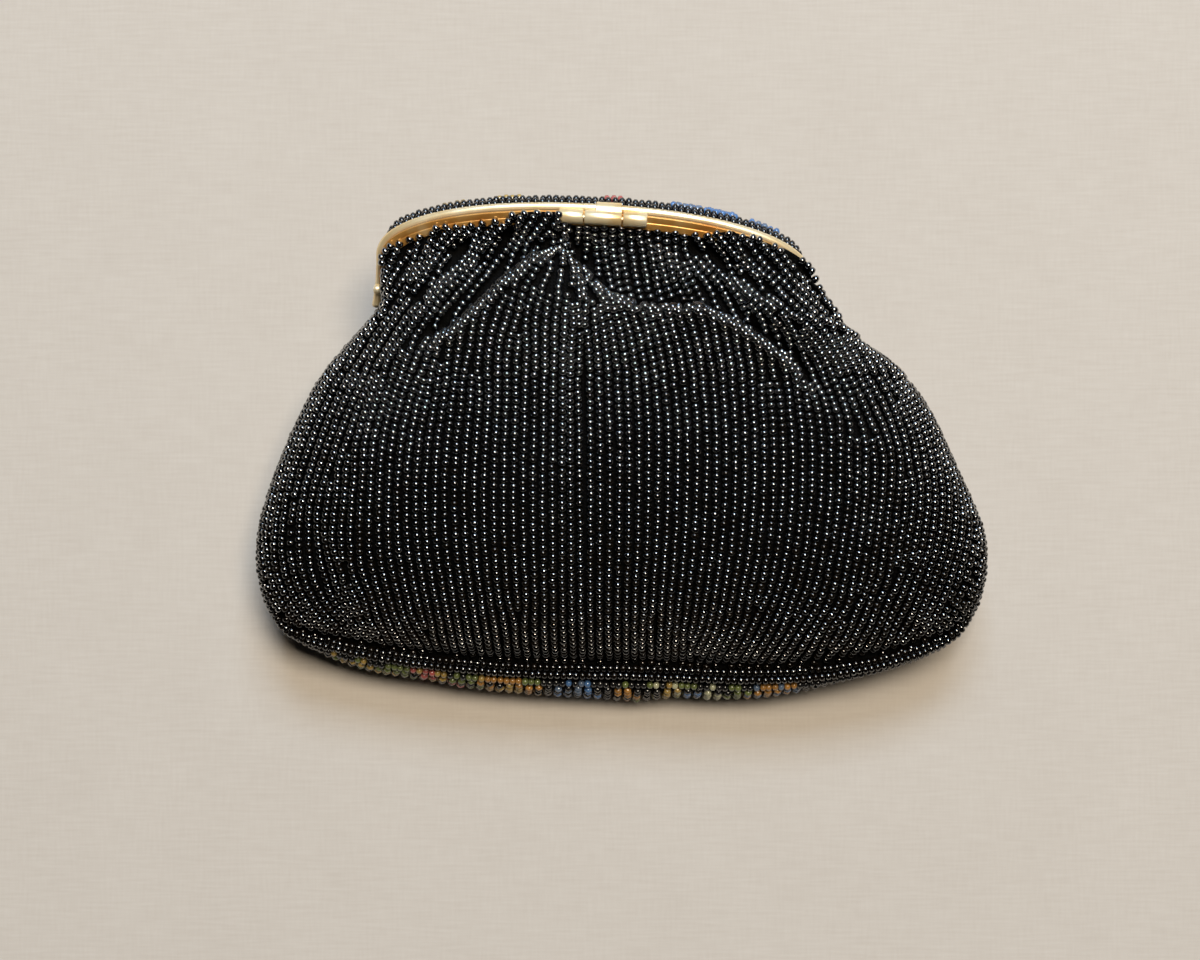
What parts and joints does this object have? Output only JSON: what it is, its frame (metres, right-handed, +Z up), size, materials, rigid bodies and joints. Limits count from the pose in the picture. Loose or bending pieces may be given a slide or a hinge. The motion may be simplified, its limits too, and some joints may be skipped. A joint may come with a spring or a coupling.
{
  "type": "beaded evening purse",
  "caption": "Soft pouch purse of black beaded cloth gathered into a hinged gilt frame with a hook clasp, lying on its front.",
  "frame": {"origin": "on the surface that the purse lies on, under the middle of its outline", "axes": "+X across the purse, +Y towards the mouth and its frame, +Z up, from the front panel to the back panel"},
  "size_m": [0.1707, 0.115, 0.049],
  "materials": {
    "black_beads": "rows of glossy black glass seed beads sewn on black cloth",
    "flower_beads": "black and coloured glass seed beads sewn on black cloth",
    "gilt": "polished gilt with light wear"
  },
  "bodies": {
    "purse": {"back_panel": "black_beads", "front_panel": "flower_beads", "front_frame": "gilt", "back_frame": "gilt", "hinge_rivet_left": "gilt", "hinge_rivet_right": "gilt", "clasp_pin": "gilt"},
    "hook": {"clasp_hook": "gilt"}
  },
  "joints": [
    {"name": "clasp_lift", "type": "hinge", "parent": "purse", "child": "hook", "pos_m": [-0.00473, 0.05131, 0.04526], "axis": [0.9985, -0.0541, 0], "range_deg": [0, 100]}
  ]
}
